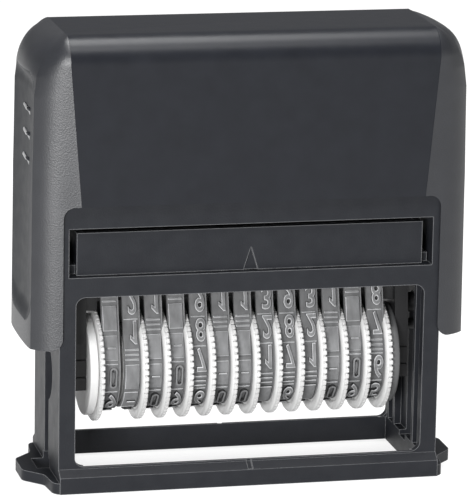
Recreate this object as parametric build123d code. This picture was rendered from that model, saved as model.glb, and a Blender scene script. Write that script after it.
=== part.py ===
from build123d import *

import os
from math import asin, atan2, cos, degrees, hypot, pi, sin

# Self-inking numbering machine with thirteen number bands.
#
# A sprung cap carries a carrier with thirteen bands and their setting wheels. At rest the characters
# face up against the ink pad. When the cap is pressed, the carrier goes down between the legs of the
# frame and turns half a turn about its pivot pins, so that the characters meet the paper at z = 0.
#
# Millimetres. +X right, +Y to the back, +Z up. The origin is the middle of the base, on the paper.

# ---- bands and wheels ----
band_count = 13
band_width = 2.8
band_thickness = 0.7
relief_height = 0.5
cell_count = 13
cell_pad_length = 3.0
cell_pad_width = 2.2
rim_width = 0.8
rim_radius = 9.3
tooth_count = 56
tooth_depth = 0.5
drum_radius = 6.4
drum_clearance = 0.12
side_gap = 0.05
first_pair_gap = 0.67
end_disc_width = 1.4
end_disc_drop = 1.0

# ---- carrier ----
axle_radius = 1.5
running_clearance = 0.05
seat_clearance = 0.01
pivot_to_axle = 8.26
pivot_to_type = 8.8
pivot_pin_radius = 1.6
cam_pin_radius = 0.9
cam_pin_offset = 3.7
plate_thickness = 2.2
plate_half_depth = 4.6
plate_below_axle = 3.2
plate_top_half_depth = 3.2
plate_groove = 0.35
plate_groove_heights = (-6.5, -9.4)
bridge_half_depth = 2.6
bridge_corner_radius = 0.6
bridge_depth = 4.6
tenon_length = 1.0

# ---- frame ----
frame_half_depth = 10.82
base_lip = 1.58
ring_inset = 0.52
base_edge_height = 2.72
bar_height = 4.05
wheel_lift = 4.89
flange_height = 1.8
flange_reach = 4.6
flange_half_width = 3.3
flange_shoulder = 1.5
flange_corner_reach = 0.9
flange_waist = 6.6
flange_corner = 2.0
leg_thickness = 2.69
leg_clearance = 0.76
leg_wall = 1.5
post_depth = 1.9
window_corner = 1.5
rib_width = 1.0
rib_offset = 5.2
pin_slot_clearance = 0.2
slot_foot_height = 3.2
cam_lobe_clearance = 0.5
cam_lobe_shift = 0.2
foot_hole_half_depth = 2.9
foot_hole_reach = 2.0
front_wall = 1.22
window_bar = 3.28
rail_height = 1.3
rail_overlap = 0.5
deck_thickness = 1.2
deck_clearance = 0.3
box_height_over_deck = 7.2
spring_cup_wall = 1.0
spring_cup_height = 4.0
notch_width = 0.8
notch_depth = 0.35
notch_margin = 0.15

# ---- ink cartridge ----
pad_gap = 0.3
pad_recess = 0.15
pad_thickness = 3.0
pad_over_stack = 0.66
pad_half_depth = 5.2
pad_floor = 1.4
tray_side_gap = 1.43
tray_height = 6.95
tray_wall = 1.2
tray_setback = 1.22
tray_headroom = 0.92
tray_floor_gap = 0.08
runner_clearance = 0.25
runner_height = 1.5
mark_half_width = 1.2
mark_height = 3.8
mark_depth = 0.3

# ---- cap ----
cap_clearance = 0.28
ear_clearance = 0.3
cap_wall = 1.0
ear_thickness = 3.97
cap_draft = 0.05
cap_corner_width = 5.0
cap_corner_height = 6.5
cap_top_round = 4.27
cheek_width = 5.5
cheek_depth = 3.6
ceiling = 1.5
head_clearance = 2.94
ear_drop = 3.0
ear_overlap = 0.45
ear_corner = 2.0
skirt_margin = 3.78
ear_pocket_inner = 1.25
ear_pocket_width = 1.1
ear_pocket_half_depth = 8.5
ear_pocket_margin = 9.0
grip_recess = 0.65
grip_half_depth = 7.2
grip_corner = 6.0
grip_bottom = 4.6
grip_top = 8.0
grip_rib_count = 3
grip_rib_pitch = 4.12
grip_rib_length = 5.6
grip_rib_radius = 0.28
grip_rib_drop = 13.1
corner_pull = 0.55

# ---- springs ----
spring_radius = 4.0
spring_wire = 0.45
spring_turns = 8
spring_offset = 20.0
spring_clearance = 0.35
spring_post_length = 6.5

# ---- places worked out from the sizes above ----
pitch = rim_width + band_width + 2 * side_gap
first_step = rim_width + 2 * (band_width + side_gap) + first_pair_gap
stack_half = (first_step + (band_count - 2) * pitch + rim_width) / 2
disc_face = stack_half + side_gap + end_disc_width
plate_inner = disc_face
plate_outer = plate_inner + plate_thickness
window_half = plate_outer + leg_clearance
leg_outer = window_half + leg_thickness
wall_inner = leg_outer - leg_wall
tray_half_width = wall_inner - tray_side_gap
pad_half_width = stack_half + pad_over_stack

axle_z = bar_height + wheel_lift + rim_radius
pivot_z = axle_z + pivot_to_axle
type_z = pivot_z + pivot_to_type
press_travel = pivot_z - pivot_to_type

pad_z = type_z + pad_gap
tray_bottom = pad_z - pad_recess
tray_top = tray_bottom + tray_height
sill_z = tray_bottom - tray_floor_gap
window_top = sill_z - window_bar
slot_top = tray_top + tray_headroom
deck_bottom = slot_top + deck_clearance
deck_top = deck_bottom + deck_thickness
box_top = deck_top + box_height_over_deck

base_half_depth = frame_half_depth + base_lip
ring_half_depth = frame_half_depth - ring_inset
tray_front = frame_half_depth - tray_setback
inner_half_depth = frame_half_depth - front_wall

cap_inner_half = leg_outer + ear_clearance
cap_half = cap_inner_half + ear_thickness
cap_inner_depth = frame_half_depth + cap_clearance
cap_half_depth = cap_inner_depth + cap_wall
ceiling_z = box_top + press_travel + head_clearance
cap_top = ceiling_z + ceiling
ear_bottom = pivot_z - ear_drop
skirt_z = slot_top + skirt_margin
ear_inner_front = leg_outer - ear_overlap

pin_slot_half_width = pivot_pin_radius + pin_slot_clearance
cam_mid_z = pivot_z - press_travel / 2
disc_radius = rim_radius - end_disc_drop
belt_top = pivot_to_type - relief_height
belt_inner_top = belt_top - band_thickness
plate_top = belt_top
grip_face = cap_half - grip_recess

FAR = 4 * cap_top


def block(x0, x1, y0, y1, z0, z1):
    """Box between two corners."""
    return Pos((x0 + x1) / 2, (y0 + y1) / 2, (z0 + z1) / 2) * Box(x1 - x0, y1 - y0, z1 - z0)


def cross_rod(radius, x0, x1, y, z):
    """Round bar along X."""
    return Pos((x0 + x1) / 2, y, z) * Rot(0, 90, 0) * Cylinder(radius, x1 - x0)


def across(outline, x0, x1, z=0):
    """Solid along X of an outline drawn in Y and Z, raised by z."""
    plane = Plane((x0, 0, z), x_dir=(0, 1, 0), z_dir=(1, 0, 0))
    return extrude(plane * outline, x1 - x0)


def along(outline, y0, y1):
    """Solid along Y of an outline drawn in X and Z."""
    plane = Plane((0, y1, 0), x_dir=(1, 0, 0), z_dir=(0, -1, 0))
    return extrude(plane * outline, y1 - y0)


def both_sides(solid):
    """The solid and its mirror image on the other side of X = 0."""
    return solid + mirror(solid, about=Plane.YZ)


def front_and_back(solid):
    """The solid and its mirror image on the other side of Y = 0."""
    return solid + mirror(solid, about=Plane.XZ)


# ---- bands and wheels ----

def wheel_face(index):
    """X of the left face of a wheel's toothed rim; wheels are counted from 0."""
    if index == 0:
        return -stack_half
    return -stack_half + first_step + (index - 1) * pitch


def band_start(index):
    """X of the left edge of a band. The first band is right of its wheel, the others left of theirs."""
    if index == 0:
        return wheel_face(0) + rim_width + side_gap
    return wheel_face(index) - side_gap - band_width


def belt_wire(offset):
    """Closed path round the type bridge and a wheel's drum, from the top centre, about the pivot."""
    corner_r = bridge_corner_radius + drum_clearance + offset
    drum_r = drum_radius + drum_clearance + offset
    corner_y = bridge_half_depth - bridge_corner_radius
    corner_z = belt_inner_top - bridge_corner_radius - drum_clearance
    rise = corner_z + pivot_to_axle
    lean = asin((drum_r - corner_r) / hypot(corner_y, rise)) - atan2(corner_y, rise)
    half_way = (pi / 2 + lean) / 2

    def corner(angle, side):
        return (side * (corner_y + corner_r * cos(angle)), corner_z + corner_r * sin(angle))

    def drum(side):
        return (side * drum_r * cos(lean), drum_r * sin(lean) - pivot_to_axle)

    top = corner_z + corner_r
    return Wire([
        Line((0, top), corner(pi / 2, 1)),
        ThreePointArc(corner(pi / 2, 1), corner(half_way, 1), corner(lean, 1)),
        Line(corner(lean, 1), drum(1)),
        ThreePointArc(drum(1), (0, -drum_r - pivot_to_axle), drum(-1)),
        Line(drum(-1), corner(lean, -1)),
        ThreePointArc(corner(lean, -1), corner(half_way, -1), corner(pi / 2, -1)),
        Line(corner(pi / 2, -1), (0, top)),
    ])


def character_pads():
    """Outline of the raised cells along a band; the first cell is centred on top of the bridge."""
    path = belt_wire(band_thickness)
    step = path.length / cell_count
    pads = Sketch()
    for cell in range(cell_count):
        place = path.position_at(cell * step, position_mode=PositionMode.LENGTH)
        heading = path.tangent_at(cell * step, position_mode=PositionMode.LENGTH)
        turn = degrees(atan2(heading.Y, heading.X))
        pad = Rectangle(cell_pad_length, 2 * relief_height)
        pads += Pos(place.X, place.Y) * Rot(0, 0, turn) * pad
    return pads


def number_band(index, pads):
    """Rubber loop with its raised cells."""
    start = band_start(index)
    loop = make_face(belt_wire(band_thickness)) - make_face(belt_wire(0))
    middle = start + band_width / 2
    cells = across(pads, middle - cell_pad_width / 2, middle + cell_pad_width / 2, pivot_z)
    opening = across(make_face(belt_wire(0)), start, start + band_width, pivot_z)
    return across(loop, start, start + band_width, pivot_z) + (cells - opening)


def toothed_disc():
    """Outline of a wheel's toothed rim."""
    points = []
    for step in range(2 * tooth_count):
        radius = rim_radius - tooth_depth * (step % 2)
        angle = pi * step / tooth_count
        points.append((radius * cos(angle), radius * sin(angle)))
    return make_face(Polyline(*points, close=True))


def setting_wheel(index):
    """Toothed rim with the drum that its band runs on, bored for the axle."""
    face = wheel_face(index)
    rim = across(toothed_disc(), face, face + rim_width, axle_z)
    drum_width = band_width + side_gap
    drum_start = face + rim_width if index == 0 else face - drum_width
    drum = cross_rod(drum_radius, drum_start, drum_start + drum_width, 0, axle_z)
    bore = cross_rod(axle_radius + running_clearance, drum_start - pitch, drum_start + 2 * pitch, 0, axle_z)
    return rim + drum - bore


# ---- carrier ----

def end_disc():
    """Smooth disc outside the last wheel, on the right."""
    disc = cross_rod(disc_radius, disc_face - end_disc_width, disc_face, 0, axle_z)
    return disc - cross_rod(axle_radius + seat_clearance, 0, FAR, 0, axle_z)


def wheel_axle():
    """Steel axle of the wheels, held in both side plates."""
    return cross_rod(axle_radius, -plate_outer, plate_outer, 0, axle_z)


def bridge_outline(gap):
    """Section of the type bridge about the pivot, grown by a gap."""
    top = belt_inner_top - drum_clearance
    bar = Pos(0, top - bridge_depth / 2) * Rectangle(2 * bridge_half_depth, bridge_depth)
    upper = bar.vertices().sort_by(Axis.Y)[-2:]
    section = fillet(upper, bridge_corner_radius)
    return offset(section, gap) if gap else section


def type_bridge():
    """Bar that backs the characters, tenoned into the side plates."""
    reach = plate_inner + tenon_length
    return across(bridge_outline(0), -reach, reach, pivot_z)


def side_plate():
    """Right end of the carrier with its pivot pin and cam pin."""
    bottom = -pivot_to_axle - plate_below_axle
    outline = make_face(Polyline(
        (-plate_top_half_depth, plate_top), (plate_top_half_depth, plate_top),
        (plate_half_depth, -cam_pin_offset), (plate_half_depth, bottom),
        (-plate_half_depth, bottom), (-plate_half_depth, -cam_pin_offset), close=True))
    plate = across(outline, plate_inner, plate_outer, pivot_z)
    for height in plate_groove_heights:
        level = pivot_z + height
        cut = block(0, FAR, -FAR, plate_groove - plate_half_depth, level, level + plate_groove)
        plate -= front_and_back(cut)
    plate -= across(bridge_outline(seat_clearance), 0, plate_inner + tenon_length + seat_clearance, pivot_z)
    plate -= cross_rod(axle_radius + seat_clearance, 0, FAR, 0, axle_z)
    pivot_end = cap_inner_half + ear_pocket_inner - running_clearance
    plate += cross_rod(pivot_pin_radius, plate_outer, pivot_end, 0, pivot_z)
    cam_end = leg_outer - cap_clearance
    return plate + cross_rod(cam_pin_radius, plate_outer, cam_end, 0, pivot_z - cam_pin_offset)


# ---- frame ----

def base_ring():
    """Base with its sloped bars and the two side flanges."""
    corner_x = leg_outer + flange_corner_reach
    waist_x = leg_outer + flange_shoulder
    tip_x = leg_outer + flange_reach
    quarter = [(corner_x, base_half_depth), (waist_x, flange_waist), (tip_x, flange_half_width)]
    right = quarter + [(x, -y) for x, y in reversed(quarter)]
    left = [(-x, -y) for x, y in right]
    plan = make_face(FilletPolyline(*right, *left, radius=flange_corner, close=True))
    bar = make_face(Polyline(
        (-base_half_depth, 0), (-base_half_depth, base_edge_height),
        (-ring_half_depth, bar_height), (-ring_half_depth, 0), close=True))
    sill = block(window_half, leg_outer, -frame_half_depth, frame_half_depth, 0, bar_height)
    bars = front_and_back(across(bar, -leg_outer, leg_outer))
    ring = extrude(plan, flange_height) + bars + both_sides(sill)
    return ring - block(-window_half, window_half, -ring_half_depth, ring_half_depth, -FAR, FAR)


def front_plate():
    """Front wall from the base to the top of the box, with the round-cornered wheel window."""
    wall = block(-leg_outer, leg_outer, -frame_half_depth, -inner_half_depth, 0, box_top)
    middle = (bar_height + window_top) / 2
    window = Pos(0, middle) * RectangleRounded(2 * window_half, window_top - bar_height, window_corner)
    return wall - along(window, -FAR, FAR)


def leg_side():
    """Right side wall with its corner posts and inner ribs."""
    side = block(wall_inner, leg_outer, -frame_half_depth, frame_half_depth, 0, box_top)
    post = block(window_half, wall_inner, -frame_half_depth, post_depth - frame_half_depth, 0, window_top)
    rib = block(window_half, wall_inner, -rib_offset - rib_width, -rib_offset, 0, window_top)
    return side + front_and_back(post) + front_and_back(rib)


def pin_track():
    """Slot of the right leg: straight for the pivot pin, with a lobe to the front for the cam pin."""
    straight = block(0, FAR, -pin_slot_half_width, pin_slot_half_width, slot_foot_height, pivot_z)
    head = cross_rod(pin_slot_half_width, 0, FAR, 0, pivot_z)
    lobe_radius = cam_pin_offset + cam_pin_radius + cam_lobe_clearance
    lobe = cross_rod(lobe_radius, 0, FAR, cam_lobe_shift, cam_mid_z)
    front_half = block(0, FAR, -FAR, 0, 0, FAR)
    return straight + head + (lobe & front_half)


def centring_notch():
    """Small groove across the slope of the front bar that marks the middle of the imprint."""
    slope = (bar_height - base_edge_height) / (base_half_depth - ring_half_depth)
    low_y = notch_margin - base_half_depth
    high_y = -notch_margin - ring_half_depth
    low_z = base_edge_height + slope * notch_margin - notch_depth
    high_z = bar_height - slope * notch_margin - notch_depth
    top = [(high_y, bar_height), (low_y, bar_height)]
    outline = make_face(Polyline((low_y, low_z), (high_y, high_z), *top, close=True))
    return across(outline, -notch_width / 2, notch_width / 2)


def machine_frame():
    """One moulding: base, legs, window bars and the box round the ink cartridge."""
    body = base_ring() + front_and_back(front_plate()) + both_sides(leg_side())
    rail = block(tray_half_width - rail_overlap, wall_inner, -inner_half_depth, inner_half_depth,
                 sill_z - rail_height, sill_z)
    deck = block(-wall_inner, wall_inner, -inner_half_depth, inner_half_depth, deck_bottom, deck_top)
    bore_radius = spring_radius + spring_wire + spring_clearance
    cup_middle = deck_top + spring_cup_height / 2
    cup = Cylinder(bore_radius + spring_cup_wall, spring_cup_height)
    cup -= Cylinder(bore_radius, spring_cup_height)
    body += both_sides(rail) + deck + both_sides(Pos(spring_offset, 0, cup_middle) * cup)
    body -= block(-wall_inner, wall_inner, -FAR, FAR, sill_z, slot_top)
    body -= block(-window_half, window_half, -ring_half_depth, ring_half_depth, -FAR, bar_height)
    foot_hole = block(wall_inner, leg_outer + foot_hole_reach, -foot_hole_half_depth, foot_hole_half_depth,
                      -FAR, slot_foot_height)
    return body - both_sides(pin_track()) - both_sides(foot_hole) - front_and_back(centring_notch())


# ---- ink cartridge ----

def pad_tray():
    """Cartridge that holds the felt, on two runners, with a small arrow mark on front and back."""
    top_of_pad = pad_z + pad_thickness
    tray = block(-tray_half_width, tray_half_width, -tray_front, tray_front, tray_bottom, tray_top)
    fit = seat_clearance
    tray -= block(-pad_half_width - fit, pad_half_width + fit, -pad_half_depth - fit, pad_half_depth + fit,
                  0, top_of_pad)
    inside_x = tray_half_width - tray_wall
    inside_y = tray_front - tray_wall
    tray -= block(-inside_x, inside_x, -inside_y, inside_y, top_of_pad + pad_floor, FAR)
    runner = block(tray_half_width, wall_inner - runner_clearance, -inside_y, inside_y,
                   tray_bottom, tray_bottom + runner_height)
    foot = [(-mark_half_width, tray_bottom), (mark_half_width, tray_bottom)]
    mark = make_face(Polyline(*foot, (0, tray_bottom + mark_height), close=True))
    mark_cut = along(mark, -tray_front, mark_depth - tray_front)
    return tray + both_sides(runner) - front_and_back(mark_cut)


def ink_pad():
    """Felt pad above the characters."""
    return block(-pad_half_width, pad_half_width, -pad_half_depth, pad_half_depth,
                 pad_z, pad_z + pad_thickness)


# ---- springs ----

def return_spring():
    """Right compression spring between the deck of the frame and the ceiling of the cap."""
    height = ceiling_z - deck_top - 2 * (spring_wire + seat_clearance)
    path = Helix(pitch=height / spring_turns, height=height, radius=spring_radius)
    section = Plane(origin=path @ 0, z_dir=path % 0) * Circle(spring_wire)
    coil = sweep(section, path=path, is_frenet=True)
    return Pos(spring_offset, 0, deck_top + spring_wire + seat_clearance) * coil


# ---- cap ----

def cap_front_outline():
    """Front view of the cap: drafted sides with large oval upper corners."""
    top_x = cap_half - cap_draft
    turn_z = cap_top - cap_corner_height
    flat_x = top_x - cap_corner_width
    right = [
        Line((cap_half, ear_bottom), (top_x, turn_z)),
        Bezier((top_x, turn_z), (top_x, turn_z + corner_pull * cap_corner_height),
               (flat_x + corner_pull * cap_corner_width, cap_top), (flat_x, cap_top)),
    ]
    left = [mirror(edge, about=Plane.YZ) for edge in right]
    foot = Line((-cap_half, ear_bottom), (cap_half, ear_bottom))
    return make_face([*right, Line((flat_x, cap_top), (-flat_x, cap_top)), *left, foot])


def cap_plan_outline():
    """Plan view of the cap: flat front and back with soft cheeks at the four corners."""
    flat_x = cap_half - cheek_width
    side_y = cap_half_depth - cheek_depth
    corner = Bezier((cap_half, side_y), (cap_half, side_y + corner_pull * cheek_depth),
                    (flat_x + corner_pull * cheek_width, cap_half_depth), (flat_x, cap_half_depth))
    side = Line((cap_half, 0), (cap_half, side_y))
    front = Line((flat_x, cap_half_depth), (0, cap_half_depth))
    quarter = [side, corner, front]
    half = quarter + [mirror(edge, about=Plane.XZ) for edge in quarter]
    return make_face(half + [mirror(edge, about=Plane.YZ) for edge in half])


def rounded_side_outline(half_depth, bottom, top, radius):
    """Side view of a shell with two round upper corners."""
    body = Pos(0, (bottom + top) / 2) * Rectangle(2 * half_depth, top - bottom)
    return fillet(body.vertices().sort_by(Axis.Y)[-2:], radius)


def cap_skin():
    """Outer shape of the cap before it is hollowed."""
    front = along(cap_front_outline(), -FAR, FAR)
    side = across(rounded_side_outline(cap_half_depth, ear_bottom, cap_top, cap_top_round), -FAR, FAR)
    return front & side & extrude(cap_plan_outline(), FAR)


def cap_cavity():
    """Space for the box of the frame and the springs."""
    radius = cap_top_round - cap_wall
    depth = rounded_side_outline(cap_inner_depth, 0, ceiling_z, radius)
    width = rounded_side_outline(cap_inner_half, 0, ceiling_z, radius)
    return across(depth, -FAR, FAR) & along(width, -FAR, FAR)


def skirt_opening():
    """Opening between the ears, front and back, with the rounded lower corners of the ears."""
    gap = Pos(0, skirt_z / 2) * RectangleRounded(2 * ear_inner_front, skirt_z, ear_corner)
    centre_x = ear_inner_front + ear_corner
    centre_z = ear_bottom + ear_corner
    corner = block(ear_inner_front, centre_x, -FAR, FAR, 0, centre_z)
    round_off = along(Pos(centre_x, centre_z) * Circle(ear_corner), -FAR, FAR)
    return along(gap, -FAR, FAR) + both_sides(corner - round_off)


def grip():
    """Shallow hollow in the right side face for a thumb or finger."""
    low = ear_bottom + grip_bottom
    high = cap_top - grip_top
    shape = Pos(0, (low + high) / 2) * RectangleRounded(2 * grip_half_depth, high - low, grip_corner)
    return across(shape, grip_face, FAR)


def grip_ribs():
    """Short ribs on the floor of the right grip."""
    ribs = Part()
    for step in range(grip_rib_count):
        level = cap_top - grip_rib_drop - step * grip_rib_pitch
        ribs += Pos(grip_face, 0, level) * Rot(90, 0, 0) * Cylinder(grip_rib_radius, grip_rib_length)
    return ribs


def stamp_cap():
    """Sprung cap with its two ears, the grips and the posts that hold the springs."""
    shell = cap_skin() - cap_cavity() - skirt_opening() - both_sides(grip())
    pocket_x = cap_inner_half + ear_pocket_inner
    pocket = block(pocket_x, pocket_x + ear_pocket_width, -ear_pocket_half_depth, ear_pocket_half_depth,
                   0, cap_top - ear_pocket_margin)
    bore = cross_rod(pivot_pin_radius + running_clearance, ear_inner_front, pocket_x, 0, pivot_z)
    post_radius = spring_radius - spring_wire - spring_clearance
    post_middle = ceiling_z - spring_post_length / 2
    post = Pos(spring_offset, 0, post_middle) * Cylinder(post_radius, spring_post_length)
    return shell - both_sides(pocket) - both_sides(bore) + both_sides(post) + both_sides(grip_ribs())


def build_all():
    """Every node of the machine by name."""
    nodes = {
        "frame": machine_frame(),
        "cap": stamp_cap(),
        "pad_tray": pad_tray(),
        "ink_pad": ink_pad(),
        "return_spring_right": return_spring(),
        "return_spring_left": mirror(return_spring(), about=Plane.YZ),
        "side_plate_right": side_plate(),
        "side_plate_left": mirror(side_plate(), about=Plane.YZ),
        "end_disc_right": end_disc(),
        "end_disc_left": mirror(end_disc(), about=Plane.YZ),
        "type_bridge": type_bridge(),
        "wheel_axle": wheel_axle(),
    }
    pads = character_pads()
    for index in range(band_count):
        nodes[f"wheel_{index + 1:02d}"] = setting_wheel(index)
        nodes[f"band_{index + 1:02d}"] = number_band(index, pads)
    return nodes


os.makedirs("parts", exist_ok=True)
for name, shape in build_all().items():
    export_step(shape, f"parts/{name}.step")
print("pivot z", round(pivot_z, 3), "axle z", round(axle_z, 3), "travel", round(press_travel, 3))
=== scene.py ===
"""Looks of a self-inking numbering machine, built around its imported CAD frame."""
from math import asin, atan2, cos, hypot, pi, radians, sin, sqrt

import bmesh
import bpy
import numpy as np
from mathutils import Matrix, Vector


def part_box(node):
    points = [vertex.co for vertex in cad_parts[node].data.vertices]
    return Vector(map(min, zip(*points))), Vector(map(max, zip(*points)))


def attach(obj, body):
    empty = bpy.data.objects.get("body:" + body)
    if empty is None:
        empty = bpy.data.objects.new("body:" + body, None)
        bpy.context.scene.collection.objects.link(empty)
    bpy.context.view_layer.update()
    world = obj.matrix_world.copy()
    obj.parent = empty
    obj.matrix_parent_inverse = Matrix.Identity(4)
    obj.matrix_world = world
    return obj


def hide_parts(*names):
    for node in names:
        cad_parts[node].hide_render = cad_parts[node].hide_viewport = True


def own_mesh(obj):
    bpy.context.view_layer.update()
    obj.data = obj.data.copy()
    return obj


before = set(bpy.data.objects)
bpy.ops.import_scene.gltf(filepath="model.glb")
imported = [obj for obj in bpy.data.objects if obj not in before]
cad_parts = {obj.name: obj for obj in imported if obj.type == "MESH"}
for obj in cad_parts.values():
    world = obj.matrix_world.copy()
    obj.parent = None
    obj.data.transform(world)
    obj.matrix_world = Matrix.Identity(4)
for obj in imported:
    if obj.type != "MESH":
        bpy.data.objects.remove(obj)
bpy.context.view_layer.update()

MM = 0.001

# ---- camera, fitted to the photograph; places in millimetres, angles in degrees ----
image_width_px = 471
focal_length_px = 3964.1
sensor_width = 36.0
view_left = 13.272
view_above = 13.461
view_roll = 1.028
view_target = (-0.306, 0.0, 36.373)
view_distance = 646.4
near_clip = 10.0

# ---- light: strengths of the surroundings and of the seen floor; softboxes with azimuth to the left of
# the front, elevation, size and power in watts ----
world_level = 0.21
floor_grey = 0.3
floor_glow = 0.79
floor_roughness = 0.9
floor_half_size = 3000
lamp_distance = 700.0
lamp_target_height = 40
softboxes = {
    "key": (29, 6, (240, 200), 5.0),
    "top": (180, 86, (350, 420), 5.7),
    "front": (0, 60, (300, 240), 2.0),
}

# ---- materials: spans of roughness, waves of grain per metre, depths of grain in millimetres ----
plain_specular = 0.5
noise_low = 0.3
noise_high = 0.7
plain_detail = 3
fine_detail = 2
broad_detail = 4
fibre_detail = 6
broad_share = 12
# pale rim on sharp edges of the frame plastic: partly wear, partly a painted edge highlight
edge_wear_highlight_reach = 0.28
edge_wear_highlight_samples = 8
edge_wear_highlight_start = 0.98
edge_wear_highlight_full = 0.8
edge_wear_highlight_colour = (0.19, 0.193, 0.2)
# darkest and lightest colour, roughness, grain, depth of grain, specular level
plastics = {
    "cap_smooth": ((0.01, 0.0112, 0.015), (0.0125, 0.014, 0.0185), (0.33, 0.37), 4500, 0.004, 0.26),
    "cap_grip": ((0.0105, 0.012, 0.0155), (0.0145, 0.0165, 0.021), (0.5, 0.58), 5200, 0.02, 0.3),
    # ribs of the grip: the pale colour is a painted glint on black plastic
    "rib_glint": ((0.42, 0.423, 0.43), (0.52, 0.524, 0.53), (0.36, 0.42), 3000, 0.005, plain_specular),
    "frame_black": ((0.011, 0.0122, 0.016), (0.0155, 0.017, 0.021), (0.44, 0.52), 4200, 0.026, 0.26),
    "carrier_black": ((0.008, 0.008, 0.009), (0.012, 0.012, 0.013), (0.4, 0.5), 3800, 0.01, 0.4),
    # right end disc: white like the left one, painted grey as shade
    "disc_shaded": ((0.1, 0.101, 0.103), (0.13, 0.131, 0.134), (0.4, 0.46), 3000, 0.01, plain_specular),
}
plastics_with_worn_highlit_edges = ("frame_black",)
leather_dark = (0.014, 0.0152, 0.019)
leather_light = (0.0195, 0.021, 0.0255)
leather_roughness = (0.38, 0.44)
leather_specular = 0.66
leather_cells = 4200
leather_fine = 6500
leather_broad = 300
leather_depths = (0.016, 0.013)
white_dark = (0.69, 0.69, 0.687)
white_light = (0.76, 0.76, 0.756)
white_roughness = 0.4
white_broad = 400
white_fine = 3000
white_depth = 0.01
# grey levels of one rubber: belt darker with ink and painted shade, raised tops lighter as painted light,
# chamfers pale with wear and a painted highlight, steep sides darkest as painted shade
rubber_levels = {"belt": 0.145, "raised": 0.2, "worn_and_highlit": 0.5, "shaded_sides": 0.028}
belt_tone, raised_tone, worn_and_highlit_tone, shaded_side_tone = range(len(rubber_levels))
rubber_cast = (1.0, 1.01, 1.03)
rubber_contrast = 0.2
rubber_roughness = (0.52, 0.7)
rubber_specular = 0.35
rubber_streaks = 900
rubber_stretch = (1, 1, 0.4)
rubber_fine = 4000
rubber_depth = 0.02
felt_dark = (0.008, 0.008, 0.011)
felt_light = (0.035, 0.035, 0.042)
felt_roughness = 0.9
felt_specular = 0.2
felt_sheen = 0.3
felt_fibres = 3500
felt_depth = 0.12
steel_dark = (0.5, 0.5, 0.52)
steel_light = (0.68, 0.68, 0.69)
steel_lines = 3000
steel_depth = 0.006
steel_smoother = 0.06
steel_rougher = 0.1
axle_roughness = 0.25
axle_stretch = (0.1, 1, 1)
spring_roughness = 0.3
spring_stretch = (1, 1, 1)

# ---- numbering bands: path and pitch follow the CAD source ----
band_count = 13
band_thickness = 0.7
side_gap = 0.05
drum_clearance = 0.12
relief_height = 0.5
drum_radius = 6.52
bridge_corner = 0.72
bridge_half_depth = 2.6
bridge_bend_inset = 0.6
pivot_to_axle = 8.26
pivot_to_type = 8.8
cell_length = 4.8
ridge_zone = 2.4
band_symbols = "987=654321=_-0"
band_steps = (0, 2, 1, 0, 9.5, 1, 1, 3, 9.5, 3, 1, 0, 8.5)
band_roll = -39.6
band_samples = 208
band_overlap = 0.1
band_smooth_angle = 40
pad_width = 2.3
pad_shift = 0.12
pad_length = 4.05
pad_height = 0.32
plinth_height = 0.14
slab_chamfer = 0.09
border_start = 0.25
border_end = 0.05
rail_width = 0.22
rail_height = 0.16
digit_width = 1.65
digit_height = 3.85
digit_shift = 0.2
digit_bevel = 0.03
digit_chamfer = 0.09
narrow_ratio = 0.5
narrow_width_share = 0.7
glyph_half = 0.5
glyph_curve_steps = 5
glyph_weld = 1e-5
one_outline = ((0.3, 0), (0.45, 0), (0.45, 0.72), (0.36, 0.72), (0.12, 0.56), (0.12, 0.48), (0.3, 0.58))
# height over the middle, half width and half height of the closed counters
counters = {
    "0": ((0, 0.31, 1.36),),
    "4": ((0.1, 0.3, 0.6),),
    "6": ((-0.75, 0.42, 0.72),),
    "8": ((0.88, 0.42, 0.6), (-0.92, 0.42, 0.62)),
    "9": ((0.75, 0.42, 0.72),),
}
counter_points = 20
slot_width = 1.25
slot_height = 3.35
slot_stroke = 0.3
slot_points = 28
dash_width = 1.35
dash_thickness = 0.26
# height of the dark counter ovals, which paint ink and shade into the closed counters
ink_and_shade_depth = 0.02
steep_step = 0.11
flat_step = 0.01
ridge_height = 0.26
ridge_thickness = 0.3
ridge_count = 3
slice_length = 0.45

# ---- setting wheels: sinks and leans are shares of the depth and lean of a tooth gap ----
tooth_count = 56
tooth_depth = 0.32
tooth_samples = 10
tooth_lean = 0.24
tooth_bevel = 0.12
tooth_root = 0.9
flange_share = 0.16
flange_step = 0.08
flange_sink = 0.5
bevel_sink = 0.9
bevel_lean = 0.6
bulge_reach = 0.3
bulge_start = 7.75
bulge_turn = 27
bulge_turns = 3
bulge_outer_share = 1.2
bulge_inner_share = 0.9
rim_edge = 0.14
smooth_face_edge = (0.16, 0.2)
dish_depth = 0.22
dish_start = 1.4
wheel_bore = 1.55
wheel_smooth_angle = 35

# ---- cap ----
cap_smooth_angle = 22
cap_ring_step = 0.3
cap_round_steps = 14
cap_round = 4.27
cap_side_half = 36.15
cap_corner_height = 6.7
cap_corner_pull = 0.62
cap_shoulder_angle = 8.0
cap_shoulder_reach = 3.8
panel_half_top = 30.1
panel_half_skirt = 28.2
panel_inset = 0.08
panel_step = 0.06
rim_levels = (20.0, 50.0, 64.5, 67.8, 71.0, 74.16)
rim_shares = (0.955, 0.93, 0.885, 0.81, 0.67, 0.62)
rim_depth_share = 0.73
rim_sharp_share = 0.885
cheek_start_angle = 15.0
cheek_end_angle = 50.0
dome_angle = 63.0
side_start_angle = 79.0
smooth_skin, grained_skin, matt_skin, glint_skin = range(4)
curve_pull = 0.4
curve_pull_limit = 0.8
least_cosine = 0.01
side_curve_points = 201
panel_steps = 24
cheek_steps = 26
side_steps = 44
grip_sag = 0.65
grip_corner = 4.0
grip_bottom = 27.2
grip_top = 68.4
grip_edge = 3.0
grip_margin = 0.2
grip_least_share = 0.02
grip_rib_levels = (60.9, 56.85, 52.8)
grip_rib_slope = 0.15
grip_rib_half_length = 2.5
grip_rib_height = 0.32
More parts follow.
